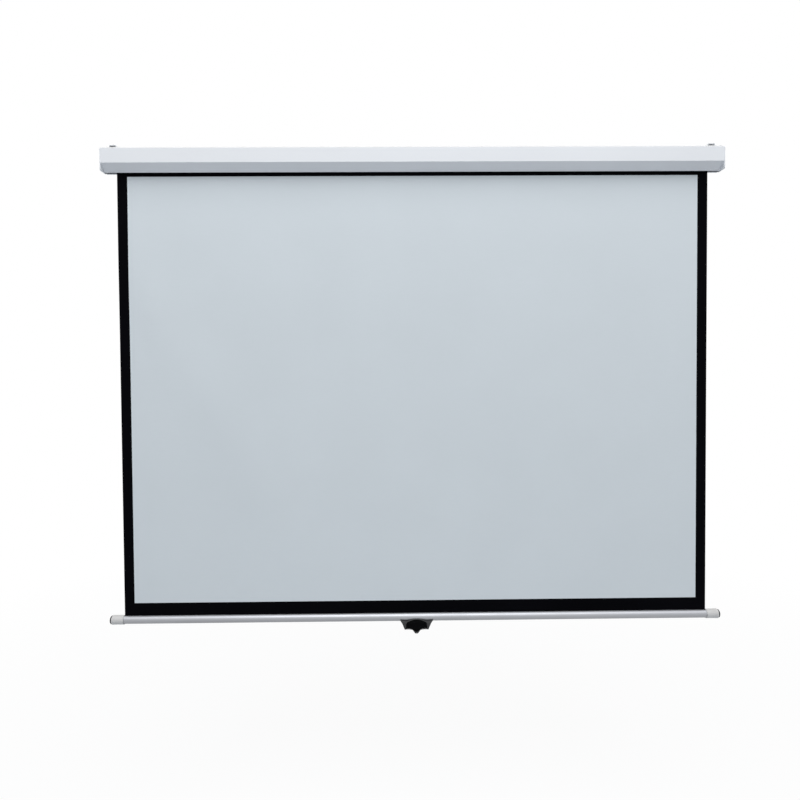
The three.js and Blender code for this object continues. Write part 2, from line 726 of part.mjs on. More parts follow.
const plugProfileRound = [
  [0, runGap - sleeve.floor],
  [sleeve.hole, runGap - sleeve.floor],
  [sleeve.hole, 0],
  [plug.radius, 0],
  [plug.radius, plug.thickness - plug.round],
  [plug.radius - plug.round, plug.thickness],
  [0, plug.thickness],
];
for (const [side, placed] of leftAndRight) {
  const sleeveBody = turned(sleeveProfile, largeSides, sleeveFrom);
  piece(`bar_sleeve_${side}`, placed(sleeveBody), materials.cream, bar);
  const plugBody = turned(plugProfileRound, largeSides, sleeveTo + seatGap);
  piece(`bar_plug_${side}`, placed(plugBody), materials.rubber, bar);
}

// Pull handle: hugs the bar from below, tapers down, and ends in a solid lug
const grip = { topHalf: 50, shoulder: 6.2, footHalf: 36, foot: 33.5 };
const arch = { half: 29.6, ends: 8.8, top: 2 };
const lug = { baseHalf: 15, tipHalf: 4, drop: 51, halfDepth: 4 };
const scallop = { from: 17, rise: 1.8 };
const hug = { wall: 2.4, waist: 9, waistDrop: 18, footHalf: 6 };
const gripSteps = 8;

function handleFront() {
  const overArch = new THREE.QuadraticBezierCurve(
    new THREE.Vector2(arch.half, -arch.ends),
    new THREE.Vector2(0, arch.ends - 2 * arch.top),
    new THREE.Vector2(-arch.half, -arch.ends));
  const underFinger = (side) => new THREE.QuadraticBezierCurve(
    new THREE.Vector2(side * grip.footHalf, -grip.foot),
    new THREE.Vector2(side * (grip.footHalf + scallop.from) / 2, scallop.rise - grip.foot),
    new THREE.Vector2(side * scallop.from, -grip.foot));
  const drawn = (curve) => curve.getPoints(gripSteps).map((point) => [point.x, point.y]);
  return [
    [grip.topHalf, -grip.shoulder],
    ...drawn(overArch),
    [-grip.topHalf, -grip.shoulder],
    ...drawn(underFinger(-1)),
    [-lug.baseHalf, -grip.foot - scallop.rise],
    [-lug.tipHalf, -lug.drop],
    [lug.tipHalf, -lug.drop],
    [lug.baseHalf, -grip.foot - scallop.rise],
    ...drawn(underFinger(1)).reverse(),
  ];
}

function handleSide() {
  const outer = barRadius + runGap + hug.wall;
  const half = [
    [lug.halfDepth, -lug.drop - overrun],
    [lug.halfDepth, -grip.foot - scallop.rise],
    [hug.footHalf, -grip.foot],
    [hug.waist, -hug.waistDrop],
    [outer, -grip.shoulder],
    [outer, 0],
  ];
  return [...half, ...half.map(([y, z]) => [-y, z]).reverse()];
}

function pullHandle() {
  const deepest = barRadius + overrun + hug.wall + overrun;
  const front = prismY(outline(handleFront()), -deepest, deepest);
  const side = prismX(outline(handleSide()), -grip.topHalf - overrun, grip.topHalf + overrun);
  const screws = [-1, 1].flatMap((end) => [
    rodZ(handleScrew.shankRadius + fitGap, smallSides, screwSeat - overrun, 0, end * handleScrew.x),
    rodZ(handleScrew.headRadius + runGap, midSides, -lug.drop, screwSeat, end * handleScrew.x),
  ]);
  return cut(common(front, side),
    rodX(barRadius + runGap, largeSides, -grip.topHalf - overrun, grip.topHalf + overrun),
    ...screws);
}
piece('pull_handle', pullHandle(), materials.blackPlastic, bar);
for (const [side, placed] of leftAndRight) {
  const screw = fastener(handleScrew.headRadius, handleScrew.headHeight, handleScrew.shankRadius,
    handleScrew.shankLength).rotateX(Math.PI).translate(handleScrew.x, 0, screwSeat - seatGap);
  piece(`handle_screw_${side}`, placed(screw), materials.darkSteel, bar);
}

export default screen;
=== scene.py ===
import json
import math

import bmesh
import bpy
from mathutils import Matrix, Vector

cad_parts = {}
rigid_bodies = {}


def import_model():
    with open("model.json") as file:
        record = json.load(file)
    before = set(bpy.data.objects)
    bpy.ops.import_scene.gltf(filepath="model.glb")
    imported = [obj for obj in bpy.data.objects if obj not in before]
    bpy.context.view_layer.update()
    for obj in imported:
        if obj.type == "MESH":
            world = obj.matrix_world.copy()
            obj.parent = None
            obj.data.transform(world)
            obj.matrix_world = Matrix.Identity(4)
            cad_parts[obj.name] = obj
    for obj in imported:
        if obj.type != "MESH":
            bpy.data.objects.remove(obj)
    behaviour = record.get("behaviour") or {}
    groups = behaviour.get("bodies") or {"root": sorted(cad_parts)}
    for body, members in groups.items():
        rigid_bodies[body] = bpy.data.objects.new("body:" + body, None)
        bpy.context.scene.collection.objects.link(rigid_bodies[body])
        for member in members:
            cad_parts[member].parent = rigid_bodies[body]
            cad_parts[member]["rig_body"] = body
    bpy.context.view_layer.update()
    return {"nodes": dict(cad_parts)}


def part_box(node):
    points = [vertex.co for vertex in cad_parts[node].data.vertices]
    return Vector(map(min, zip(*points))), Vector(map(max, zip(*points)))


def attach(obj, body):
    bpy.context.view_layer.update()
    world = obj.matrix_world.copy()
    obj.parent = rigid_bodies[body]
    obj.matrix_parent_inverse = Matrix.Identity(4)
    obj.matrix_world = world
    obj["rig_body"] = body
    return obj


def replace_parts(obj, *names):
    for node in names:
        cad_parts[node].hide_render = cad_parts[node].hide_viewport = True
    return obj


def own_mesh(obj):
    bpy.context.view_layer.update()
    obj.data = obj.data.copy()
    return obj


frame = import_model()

TURN = 2 * math.pi
MM = 0.001
UP, DOWN = Vector((0, 0, 1)), Vector((0, 0, -1))
WHITE = (1, 1, 1, 1)

# The camera, fitted to the corners of the picture field and of the case
FOCAL_SHARE = 0.75
SENSOR = 36
camera_place = Vector((-0.0643, -1.8636, -0.6812))
yaw, pitch, roll = (math.radians(angle) for angle in (0.591, -1.396, -0.397))
forward = Vector((math.sin(yaw) * math.cos(pitch), math.cos(yaw) * math.cos(pitch), math.sin(pitch)))
level = Vector((math.cos(yaw), -math.sin(yaw), 0))
above = level.cross(forward)
right = math.cos(roll) * level + math.sin(roll) * above
camera = bpy.data.objects.new("camera", bpy.data.cameras.new("camera"))
camera.data.lens = FOCAL_SHARE * SENSOR
camera.data.sensor_width = SENSOR
camera.matrix_world = (
    Matrix.Translation(camera_place)
    @ Matrix((right, right.cross(forward), -forward)).transposed().to_4x4()
)
bpy.context.scene.collection.objects.link(camera)
bpy.context.scene.camera = camera
bpy.context.scene.view_settings.view_transform = "Standard"


# Materials

class Nodes:
    """A shader tree, built up node by node."""

    def __init__(self, tree):
        self.tree = tree

    def add(self, kind, inputs=None, **settings):
        made = self.tree.nodes.new("ShaderNode" + kind)
        for key, value in settings.items():
            setattr(made, key, value)
        for key, value in (inputs or {}).items():
            self.feed(made.inputs[key], value)
        return made

    def feed(self, socket, value):
        if isinstance(value, bpy.types.NodeSocket):
            self.tree.links.new(value, socket)
        elif isinstance(value, bpy.types.Node):
            self.tree.links.new(value.outputs[0], socket)
        else:
            socket.default_value = value

    def math(self, how, first, second):
        return self.add("Math", {0: first, 1: second}, operation=how)

    def seen_itself(self):
        """1 for a ray that shows the surface or the backdrop itself, 0 for one that only lights others."""
        ray = self.add("LightPath").outputs
        camera_or_glossy = self.math("MAXIMUM", ray["Is Camera Ray"], ray["Is Glossy Ray"])
        return self.math("MAXIMUM", camera_or_glossy, ray["Is Transmission Ray"])


class Shader(Nodes):
    """A material's nodes, built up from its Principled shader."""

    def __init__(self, name):
        self.material = bpy.data.materials.new(name)
        self.material.use_nodes = True
        super().__init__(self.material.node_tree)
        self.surface = self.tree.nodes["Principled BSDF"]

    def place(self, stretch=(1, 1, 1)):
        """Object coordinates in metres, stretched along some axes."""
        coordinates = self.add("TexCoord").outputs["Object"]
        return self.add("Mapping", {"Vector": coordinates, "Scale": stretch})

    def noise(self, size, stretch=(1, 1, 1), detail=2.0, roughness=0.5):
        """Noise whose grains are about size metres across."""
        return self.add("TexNoise", {
            "Vector": self.place(stretch), "Scale": 1 / size, "Detail": detail, "Roughness": roughness,
        }).outputs["Fac"]

    def between(self, value, low, high, start=0.3, end=0.7):
        """Takes start to low and end to high. Most noise lies between its default start and end."""
        return self.add("MapRange", {
            "Value": value, "From Min": start, "From Max": end, "To Min": low, "To Max": high,
        })

    def blend(self, factor, first, second):
        mixed = self.add("Mix", {0: factor, 6: first, 7: second}, data_type="RGBA", blend_type="MIX")
        return mixed.outputs[2]

    def bump(self, height, depth, under=None):
        inputs = {"Height": height, "Distance": depth, "Strength": 1.0}
        if under is not None:
            inputs["Normal"] = under
        return self.add("Bump", inputs)

    def set(self, **inputs):
        for key, value in inputs.items():
            self.feed(self.surface.inputs[key.replace("_", " ")], value)
        return self.material


def tinted(colour, share):
    return tuple(channel * share for channel in colour[:3]) + (1,)


def mottled(shader, colour, spread, size):
    """The colour with slow lighter and darker clouds of that size."""
    clouds = shader.between(shader.noise(size, detail=3.0), 0.0, 1.0)
    return shader.blend(clouds, tinted(colour, 1 - spread), tinted(colour, 1 + spread))


# A grey for upward faces: partly dust, partly painted shade on the strongly lit tops
DUST_AND_SHADE = (0.52, 0.505, 0.48, 1)
# The dust on a level face, and the share of it that is left where it is thinnest. Part of this grey is
# painted shade that darkens tops lit strongly from above.
MOST_DUST_AND_SHADE, THINNEST_DUST_AND_SHADE = 0.62, 0.62


def painted(name, colour, roughness):
    """Powder coat: a fine orange peel, slow colour drift and a grey on what faces up, partly dust and partly
    painted shade on tops lit strongly from above.
    """
    shader = Shader(name)
    peel = shader.noise(1.6 * MM, detail=1.0)
    grain = shader.noise(0.35 * MM, detail=0.0)
    facing = shader.add("SeparateXYZ", {0: shader.add("NewGeometry").outputs["Normal"]}).outputs["Z"]
    dust_and_shade_cloud = shader.noise(18 * MM, detail=4.0)
    # Upward faces get the grey: partly dust, partly painted shade on tops lit strongly from above
    dust_and_top_shade = shader.math("MULTIPLY", shader.between(facing, 0.0, MOST_DUST_AND_SHADE, 0.6, 1.0),
                       shader.between(dust_and_shade_cloud, THINNEST_DUST_AND_SHADE, 1.0))
    clean = mottled(shader, colour, 0.012, 0.35)
    scuffs = shader.noise(60 * MM, stretch=(0.15, 1, 1), detail=5.0)
    return shader.set(
        Base_Color=shader.blend(dust_and_top_shade, clean, DUST_AND_SHADE),
        Roughness=shader.between(scuffs, roughness - 0.05, roughness + 0.07),
        Normal=shader.bump(peel, 0.03 * MM, shader.bump(grain, 0.004 * MM)),
    )


THREAD = 0.9 * MM
# A wave texture of scale 1 repeats every TURN / 20 metres
WEAVE_SCALE = TURN / (20 * THREAD)


def woven(name, colour, roughness, shine, spread):
    """Coated cloth: a plain weave of about a thread a millimetre, softened by its coating."""
    shader = Shader(name)
    weft, warp = (
        shader.add("TexWave", {
            "Vector": shader.place(), "Scale": WEAVE_SCALE, "Distortion": 0.6, "Detail Scale": 4.0,
        }, bands_direction=across).outputs["Fac"]
        for across in ("Z", "X")
    )
    weave = shader.math("MULTIPLY", weft, warp)
    slubs = shader.noise(2.5 * MM, stretch=(0.12, 1, 1), detail=2.0)
    uneven = shader.noise(9 * MM, detail=3.0)
    clouded = mottled(shader, colour, spread, 0.22)
    threaded = shader.blend(shader.between(weave, 0.0, 0.12, 0.0, 1.0), clouded, tinted(colour, 0.8))
    return shader.set(
        Base_Color=shader.blend(shader.between(slubs, 0.0, 0.1), threaded, tinted(colour, 0.9)),
        Roughness=shader.between(uneven, roughness - 0.06, roughness + 0.06),
        Specular_IOR_Level=shine,
        Normal=shader.bump(weave, 0.05 * MM, shader.bump(slubs, 0.03 * MM)),
    )


def drawn_metal(name, colour, roughness, metallic, lines=(0.01, 1, 1), line_size=0.5 * MM):
    """Metal with fine lines along the way it was drawn or brushed."""
    shader = Shader(name)
    streaks = shader.noise(line_size, stretch=lines, detail=3.0, roughness=0.7)
    smears = shader.noise(45 * MM, stretch=(0.4, 1, 1), detail=4.0)
    shade = shader.blend(shader.between(streaks, 0.0, 1.0), tinted(colour, 0.93), tinted(colour, 1.03))
    worn = shader.math("ADD", shader.between(streaks, -0.04, 0.04), shader.between(smears, -0.03, 0.05))
    return shader.set(
        Base_Color=shade,
        Metallic=metallic,
        Roughness=shader.math("ADD", worn, roughness),
        Normal=shader.bump(streaks, 0.006 * MM),
    )


def moulded(name, colour, roughness, grain_size, depth, shine=0.5):
    """Plastic or rubber with a fine spark-eroded grain and rubbed patches."""
    shader = Shader(name)
    grain = shader.add("TexVoronoi", {"Vector": shader.place(), "Scale": 1 / grain_size},
                       feature="SMOOTH_F1").outputs["Distance"]
    rubbed = shader.noise(14 * MM, detail=4.0)
    return shader.set(
        Base_Color=mottled(shader, colour, 0.05, 20 * MM),
        Roughness=shader.between(rubbed, roughness - 0.07, roughness + 0.07),
        Specular_IOR_Level=shine,
        Normal=shader.bump(grain, depth),
    )


paint = painted("case_paint", (0.80, 0.82, 0.85, 1), 0.42)
field_cloth = woven("field_cloth", (0.685, 0.739, 0.775, 1), 0.88, 0.2, 0.012)
border_cloth = woven("border_cloth", (0.002, 0.002, 0.003, 1), 0.8, 0.02, 0.15)
backing_cloth = woven("backing_cloth", (0.024, 0.024, 0.026, 1), 0.66, 0.3, 0.12)
aluminium = drawn_metal("drawn_aluminium", (0.40, 0.41, 0.435, 1), 0.53, 1.0)
zinc = drawn_metal("zinc_plate", (0.62, 0.64, 0.66, 1), 0.34, 1.0, lines=(1, 1, 1), line_size=1.2 * MM)
dark_steel = drawn_metal("blackened_steel", (0.10, 0.105, 0.115, 1), 0.4, 0.9, lines=(1, 1, 1))
spring_steel = drawn_metal("spring_wire", (0.35, 0.36, 0.39, 1), 0.32, 1.0)
brass = drawn_metal("turned_brass", (0.70, 0.55, 0.28, 1), 0.3, 1.0, lines=(1, 0.2, 0.2))
nylon = moulded("nylon", (0.80, 0.78, 0.72, 1), 0.5, 0.5 * MM, 0.01 * MM)
cream = moulded("cream_plastic", (0.62, 0.615, 0.61, 1), 0.45, 0.6 * MM, 0.015 * MM)
rubber = moulded("soft_rubber", (0.02, 0.02, 0.023, 1), 0.75, 0.8 * MM, 0.02 * MM, shine=0.25)
black_plastic = moulded("black_plastic", (0.018, 0.018, 0.020, 1), 0.36, 0.7 * MM, 0.015 * MM)
# Darker than the black plastic, for the handle's sunk panel: partly a matt finish, partly painted shade of
# the recess
matt_black_and_shade = moulded("matt_black_and_shade", (0.0025, 0.0025, 0.003, 1), 0.62, 0.5 * MM, 0.03 * MM, shine=0.03)


# Mesh helpers

SAME_POINT = 1e-6
SAME_CAD_POINT = 2e-6
ON_AXIS = 1e-7
FLAT_WITHIN = math.radians(0.6)
# Edges of more than this many degrees stay sharp
SHARP, ROUND_SHARP, INNER_SHARP, CLOTH_SHARP = 35, 40, 50, 60


def make_object(name, bm, materials, body, sharp=SHARP):
    """The bmesh as a piece on a body: smooth but for edges sharper than the angle."""
    bmesh.ops.remove_doubles(bm, verts=bm.verts, dist=SAME_POINT)
    bmesh.ops.recalc_face_normals(bm, faces=bm.faces)
    for edge in bm.edges:
        edge.smooth = edge.is_manifold and edge.calc_face_angle(0) < math.radians(sharp)
    for face in bm.faces:
        face.smooth = True
    mesh = bpy.data.meshes.new(name)
    bm.to_mesh(mesh)
    bm.free()
    made = bpy.data.objects.new(name, mesh)
    for material in materials:
        mesh.materials.append(material)
    bpy.context.scene.collection.objects.link(made)
    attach(made, body)
    return made


def circle(radius, count, across=0.0, up=0.0):
    angles = (TURN * k / count for k in range(count))
    return [(across + radius * math.cos(a), up + radius * math.sin(a)) for a in angles]


def arc(radius, start, end, steps, across=0.0, up=0.0):
    angles = (start + (end - start) * k / steps for k in range(steps + 1))
    return [(across + radius * math.cos(a), up + radius * math.sin(a)) for a in angles]


def along_x(bm, loops, from_x, to_x):
    """A prism along X: the first loop of (y, z) points is its outline and the others are holes."""
    ends = []
    for x in (from_x, to_x):
        rings = [[bm.verts.new((x, y, z)) for y, z in loop] for loop in loops]
        rims = [bm.edges.new((ring[k - 1], ring[k])) for ring in rings for k in range(len(ring))]
        bmesh.ops.triangle_fill(bm, use_beauty=True, use_dissolve=False, edges=rims)
        ends.append(rings)
    for near, far in zip(*ends):
        for k in range(len(near)):
            bm.faces.new((near[k - 1], near[k], far[k], far[k - 1]))


def upright_onto(axis):
    """The turn that takes the upright onto the axis."""
    return UP.rotation_difference(axis).to_matrix()


def turned(bm, profile, count, place, axis):
    """A turned body: profile is (radius, distance) points from the axis, round an axis from a place."""
    turn_to = upright_onto(axis)
    rings = []
    for radius, distance in profile:
        if radius < ON_AXIS:
            rings.append([bm.verts.new(place + turn_to @ Vector((0, 0, distance)))])
            continue
        rings.append([
            bm.verts.new(place + turn_to @ Vector((across, up, distance)))
            for across, up in circle(radius, count)
        ])
    for near, far in zip(rings, rings[1:]):
        for k in range(count):
            first = [near[k - 1], near[k]] if len(near) > 1 else [near[0]]
            second = [far[k], far[k - 1]] if len(far) > 1 else [far[0]]
            bm.faces.new(first + second)


def softened(profile, radius, steps=4):
    """The line of points with its inner corners rounded, each by less than half of its shorter side."""
    points = [Vector(p) for p in profile]
    out = [tuple(points[0])]
    for before, here, after in zip(points, points[1:], points[2:]):
        back = min(radius, (before - here).length * 0.49, (after - here).length * 0.49)
        start = here + (before - here).normalized() * back
        end = here + (after - here).normalized() * back
        for k in range(steps + 1):
            t = k / steps
            out.append(tuple(start * (1 - t) ** 2 + here * 2 * t * (1 - t) + end * t ** 2))
    return out + [tuple(points[-1])]


def bake_modifiers(piece):
    """Makes the piece's mesh what its modifiers give, and takes them off."""
    graph = bpy.context.evaluated_depsgraph_get()
    result = bpy.data.meshes.new_from_object(piece.evaluated_get(graph))
    piece.modifiers.clear()
    piece.data = result


def carve(piece, cutter):
    """Cuts the cutter out of the piece."""
    bmesh.ops.recalc_face_normals(cutter, faces=cutter.faces)
    mesh = bpy.data.meshes.new("cutter")
    cutter.to_mesh(mesh)
    cutter.free()
    tool = bpy.data.objects.new("cutter", mesh)
    bpy.context.scene.collection.objects.link(tool)
    modifier = piece.modifiers.new("carve", "BOOLEAN")
    modifier.operation = "DIFFERENCE"
    modifier.solver = "EXACT"
    modifier.object = tool
    bake_modifiers(piece)
    bpy.data.objects.remove(tool)


def cleaned(node):
    """A CAD node's mesh with its corners joined and its flat faces whole."""
    bm = bmesh.new()
    bm.from_mesh(frame["nodes"][node].data)
    bmesh.ops.remove_doubles(bm, verts=bm.verts, dist=SAME_CAD_POINT)
    bmesh.ops.dissolve_limit(bm, angle_limit=FLAT_WITHIN, verts=bm.verts, edges=bm.edges)
    return bm


def finished(node, material, bevel=0.0, sharp=SHARP, least_angle=50, least_length=0.0):
    """Stands for a CAD node with the same shape, its sharp edges broken by a small bevel."""
    bm = cleaned(node)
    if bevel:
        chosen = [
            edge for edge in bm.edges
            if edge.is_manifold and edge.calc_face_angle(0) > math.radians(least_angle)
            and edge.calc_length() > least_length
        ]
        bmesh.ops.bevel(bm, geom=chosen, offset=bevel, segments=3, profile=0.5, affect="EDGES",
                        clamp_overlap=True)
    made = make_object(node + "_finish", bm, [material], frame["nodes"][node]["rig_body"], sharp)
    if bevel:
        even = made.modifiers.new("flat faces stay flat", "WEIGHTED_NORMAL")
        even.keep_sharp = True
        even.weight = 100
    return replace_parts(made, node)


def middle(node):
    low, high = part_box(node)
    return (low + high) / 2


# Case: sheet-steel shell, end plates, hanger straps and what is inside

finished("case_housing", paint, bevel=0.6 * MM, least_angle=20, least_length=0.5)
for side in ("left", "right"):
    finished(f"end_plate_{side}", paint, bevel=0.35 * MM)
    finished(f"hanger_strap_{side}", paint, bevel=0.3 * MM, least_angle=30)
# Each inner part: its material, slot and bevel
inner_parts = {
    "spindle_holder": (nylon, "nylon", 0.5 * MM),
    "idler_holder": (nylon, "nylon", 0.5 * MM),
    "idler_bush": (nylon, "nylon", 0.0),
    "spring_anchor": (nylon, "nylon", 0.4 * MM),
    "spring_spindle": (zinc, "steel", 0.2 * MM),
    "ratchet_disc": (dark_steel, "dark_steel", 0.15 * MM),
    "roller_tube": (aluminium, "aluminium", 0.0),
    "roller_cap": (dark_steel, "dark_steel", 0.3 * MM),
    "roller_plug": (dark_steel, "dark_steel", 0.3 * MM),
    "cap_bush": (brass, "brass", 0.0),
    "idler_pin": (zinc, "steel", 0.3 * MM),
    "torsion_spring": (spring_steel, "spring_steel", 0.0),
    "pawl_a": (zinc, "steel", 0.15 * MM),
    "pawl_b": (zinc, "steel", 0.15 * MM),
    "pawl_a_pin": (zinc, "steel", 0.2 * MM),
    "pawl_b_pin": (zinc, "steel", 0.2 * MM),
}
for node, (material, slot, bevel) in inner_parts.items():
    finished(node, material, bevel=bevel, sharp=INNER_SHARP)


# Screws and rivets. Their shares are of the head's radius, but those of a recess's depth and heights
# are of the head's height.

SHANK_SHARE, HEAD_SHARE = 0.55, 0.62
WING_SHARE, HALF_WING_SHARE, RECESS_SHARE = 0.52, 0.11, 0.6
# The recess narrows to its floor and is cut from a little above the crown
FLOOR_NARROWING, MOUTH_WIDENING, CUT_FROM_SHARE = 0.55, 1.15, 1.2
RIVET_SHANK_SHARE, RIVET_HEAD_SHARE = 0.5, 0.47
ROUND_STEPS = 40


def head_outline(radius, height, dome):
    """The profile of a pan head from its rim to its crown, with a rounded shoulder."""
    corners = [(radius, 0), (radius, height * 0.55), (radius * dome, height * 0.93), (0, height)]
    return softened(corners, height * 0.45, 5)


def screw(node, material, axis, turn_share):
    """A pan-head screw with a cross recess in place of the CAD screw; axis points out of its head."""
    low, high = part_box(node)
    size = high - low
    along = max(range(3), key=lambda k: abs(axis[k]))
    head_radius = size[(along + 1) % 3] / 2
    shank_radius = head_radius * SHANK_SHARE
    head = head_radius * HEAD_SHARE
    seat = (low + high) / 2
    seat[along] = high[along] - head if axis[along] > 0 else low[along] + head
    length = size[along] - head
    profile = [(0, -length), (shank_radius * 0.7, -length), (shank_radius, -length * 0.9),
               (shank_radius, 0), (head_radius, 0)]
    bm = bmesh.new()
    turned(bm, profile + head_outline(head_radius, head, 0.8)[1:], ROUND_STEPS, seat, axis)
    made = make_object(node + "_finish", bm, [material], frame["nodes"][node]["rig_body"],
                       ROUND_SHARP)
    carve(made, cross_recess(seat, axis, turn_share, head_radius, head))
    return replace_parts(made, node)


def cross_recess(seat, axis, turn_share, head_radius, head):
    """The cutter of a screw's cross, turned about the axis by a share of a turn."""
    cutter = bmesh.new()
    depth, wing, half = head * RECESS_SHARE, head_radius * WING_SHARE, head_radius * HALF_WING_SHARE
    turn_to = upright_onto(axis) @ Matrix.Rotation(TURN * turn_share, 3, "Z")
    cross = [(wing, half), (half, half), (half, wing), (-half, wing), (-half, half), (-wing, half)]
    cross = cross + [(-x, -y) for x, y in cross]
    rings = []
    for height, share in ((head - depth, FLOOR_NARROWING), (head * CUT_FROM_SHARE, MOUTH_WIDENING)):
        places = (Vector((x * share, y * share, height)) for x, y in cross)
        rings.append([cutter.verts.new(seat + turn_to @ place) for place in places])
    foot, mouth = rings
    for k in range(len(cross)):
        cutter.faces.new((foot[k - 1], foot[k], mouth[k], mouth[k - 1]))
    cutter.faces.new(list(reversed(foot)))
    cutter.faces.new(mouth)
    return cutter


def domed_rivet(node, outward):
    """A rivet with a domed head in place of the CAD rivet; outward points out of its head."""
    low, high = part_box(node)
    radius = (high.y - low.y) / 2
    shank = radius * RIVET_SHANK_SHARE
    head = radius * RIVET_HEAD_SHARE
    seat = (low + high) / 2
    seat.x = high.x - head if outward.x > 0 else low.x + head
    length = high.x - low.x - head
    quarter_steps = range(1, ROUND_STEPS // 4)
    angles = (TURN * k / ROUND_STEPS for k in quarter_steps)
    dome = [(radius * math.cos(a), head * math.sin(a)) for a in angles]
    profile = [(0, -length), (shank, -length), (shank, 0), (radius, 0)] + dome + [(0, head)]
    bm = bmesh.new()
    turned(bm, profile, ROUND_STEPS, seat, outward)
    rivet = make_object(node + "_finish", bm, [zinc], "case", ROUND_SHARP)
    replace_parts(rivet, node)


out_of_case = {"left": Vector((-1, 0, 0)), "right": Vector((1, 0, 0))}
# Each screw was driven to another angle: this share of a turn after the one before
GOLDEN_SHARE = 0.618
count = 0
for side, outward in out_of_case.items():
    for number in range(1, 5):
        count += 1
        screw(f"end_screw_{side}_{number}", zinc, outward, count * GOLDEN_SHARE)
    for number in (1, 2):
        count += 1
        screw(f"strap_screw_{side}_{number}", dark_steel, UP, count * GOLDEN_SHARE)
        domed_rivet(f"holder_rivet_{side}_{number}", outward)
    count += 1
    screw(f"handle_screw_{side}", dark_steel, DOWN, count * GOLDEN_SHARE)


# Screen sheet: hangs flat from the roller, white in front inside black borders, dark grey behind

field_low, field_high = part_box("view_field")
sheet_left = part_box("border_left")[0].x
sheet_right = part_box("border_right")[1].x
sheet_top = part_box("border_top")[1].z
sheet_foot = field_low.z
sheet_middle = (field_low.y + field_high.y) / 2
half_thick = 0.22 * MM
COLUMN_WIDTH, ROW_HEIGHT = 0.02, 0.03
ON_FIELD, ON_BORDER, ON_BACK = 0, 1, 2
RIPPLE = 0.22 * MM
LONG_RIPPLE, SHORT_RIPPLE, SHORT_SHARE = 0.43, 0.19, 0.6
# Each fold: its middle in x and z, the slant of its length, its half widths along and across, its height
FOLDS = (
    ((-0.58, -0.78), math.radians(-64), (0.42, 0.050), 2.4 * MM),
    ((-0.805, -0.42), math.radians(-72), (0.13, 0.035), 3.4 * MM),
)


def ripple_at(x, z):
    """Very slight upright ripples, none at the roller or the bar, and a soft slanting fold at the left."""
    share = (sheet_top - z) / (sheet_top - sheet_foot)
    fade = math.sin(math.pi * min(max(share, 0), 1)) ** 0.7
    slow = (math.sin(TURN * x / LONG_RIPPLE + 0.7)
            + SHORT_SHARE * math.sin(TURN * x / SHORT_RIPPLE + 2.1 + 0.8 * share))
    forward = 0.0
    for (at_x, at_z), slant, (along, across), height in FOLDS:
        u = (x - at_x) * math.cos(slant) + (z - at_z) * math.sin(slant)
        v = (z - at_z) * math.cos(slant) - (x - at_x) * math.sin(slant)
        forward += height * math.exp(-((u / along) ** 2 + (v / across) ** 2) / 2)
    return RIPPLE * fade * slow / (1 + SHORT_SHARE) - fade * forward


def steps_between(stops, longest):
    """The stops with even steps put between them, none longer than that."""
    out = [stops[0]]
    for start, end in zip(stops, stops[1:]):
        parts = max(1, math.ceil(abs(end - start) / longest))
        out += [start + (end - start) * k / parts for k in range(1, parts + 1)]
    return out


def build_sheet():
    """The hanging cloth as a thin closed body: a front and a back layer joined round their rim."""
    bm = bmesh.new()
    columns = steps_between([sheet_left, field_low.x, field_high.x, sheet_right], COLUMN_WIDTH)
    rows = steps_between([sheet_top, field_high.z, sheet_foot], ROW_HEIGHT)
    front, back = (
        [[bm.verts.new((x, sheet_middle + ripple_at(x, z) + offset, z)) for x in columns] for z in rows]
        for offset in (-half_thick, half_thick)
    )
    for layer in (front, back):
        for r in range(len(rows) - 1):
            for c in range(len(columns) - 1):
                face = bm.faces.new((layer[r][c], layer[r + 1][c], layer[r + 1][c + 1], layer[r][c + 1]))
                x = (columns[c] + columns[c + 1]) / 2
                z = (rows[r] + rows[r + 1]) / 2
                inside = field_low.x < x < field_high.x and z < field_high.z
                face.material_index = ON_BACK if layer is back else ON_FIELD if inside else ON_BORDER
    rim = [(r, 0) for r in range(len(rows))]
    rim += [(len(rows) - 1, c) for c in range(1, len(columns))]
    rim += [(r, len(columns) - 1) for r in range(len(rows) - 2, -1, -1)]
    rim += [(0, c) for c in range(len(columns) - 2, 0, -1)]
    for k, (r, c) in enumerate(rim):
        r0, c0 = rim[k - 1]
        face = bm.faces.new((front[r0][c0], front[r][c], back[r][c], back[r0][c0]))
        face.material_index = ON_BORDER
    materials = [field_cloth, border_cloth, backing_cloth]
    return make_object("screen_sheet", bm, materials, "case", CLOTH_SHARP)


# It can't roll up here; it is built at its full hanging length, with a mesh of its own
sheet = build_sheet()
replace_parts(sheet, "view_field", "border_left", "border_right", "border_top")
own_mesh(sheet)

# Its turns on the roller, as one spiral that meets the hanging part in front
roller_axis = middle("roller_tube")
wraps_low, wraps_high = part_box("sheet_wraps")
wrap_outer = (wraps_high.z - wraps_low.z) / 2 + 0.05 * MM
tube_radius = (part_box("roller_tube")[1].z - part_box("roller_tube")[0].z) / 2
WRAP_TURNS, WRAP_SEGMENTS = 2, 96
wrap_inner = tube_radius + 2 * half_thick


def build_wraps():
    total = WRAP_TURNS * WRAP_SEGMENTS
    line = []
    for k in range(total + 1):
        radius = wrap_inner + (wrap_outer - half_thick - wrap_inner) * k / total
        angle = math.pi + TURN * (k - total) / WRAP_SEGMENTS
        line.append((radius, angle))
    outer, inner = (
        [(roller_axis.y + (r + offset) * math.cos(a), roller_axis.z + (r + offset) * math.sin(a))
         for r, a in line]
        for offset in (half_thick, -half_thick)
    )
    bm = bmesh.new()
    along_x(bm, [outer + inner[::-1]], sheet_left, sheet_right)
    return make_object("roller_wraps", bm, [backing_cloth], "roller", CLOTH_SHARP)


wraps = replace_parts(build_wraps(), "sheet_wraps")

# Its foot, which goes down into the bar and round the hem rod
strip_low, strip_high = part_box("border_bottom")
rod_low, rod_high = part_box("hem_rod")
rod = middle("hem_rod")
rod_radius = (rod_high.z - rod_low.z) / 2
hem_radius = (strip_high.y - strip_low.y) / 2 - half_thick
HEM_STEPS, ROD_STEPS = 48, 32
FACING_BACK = 0.9


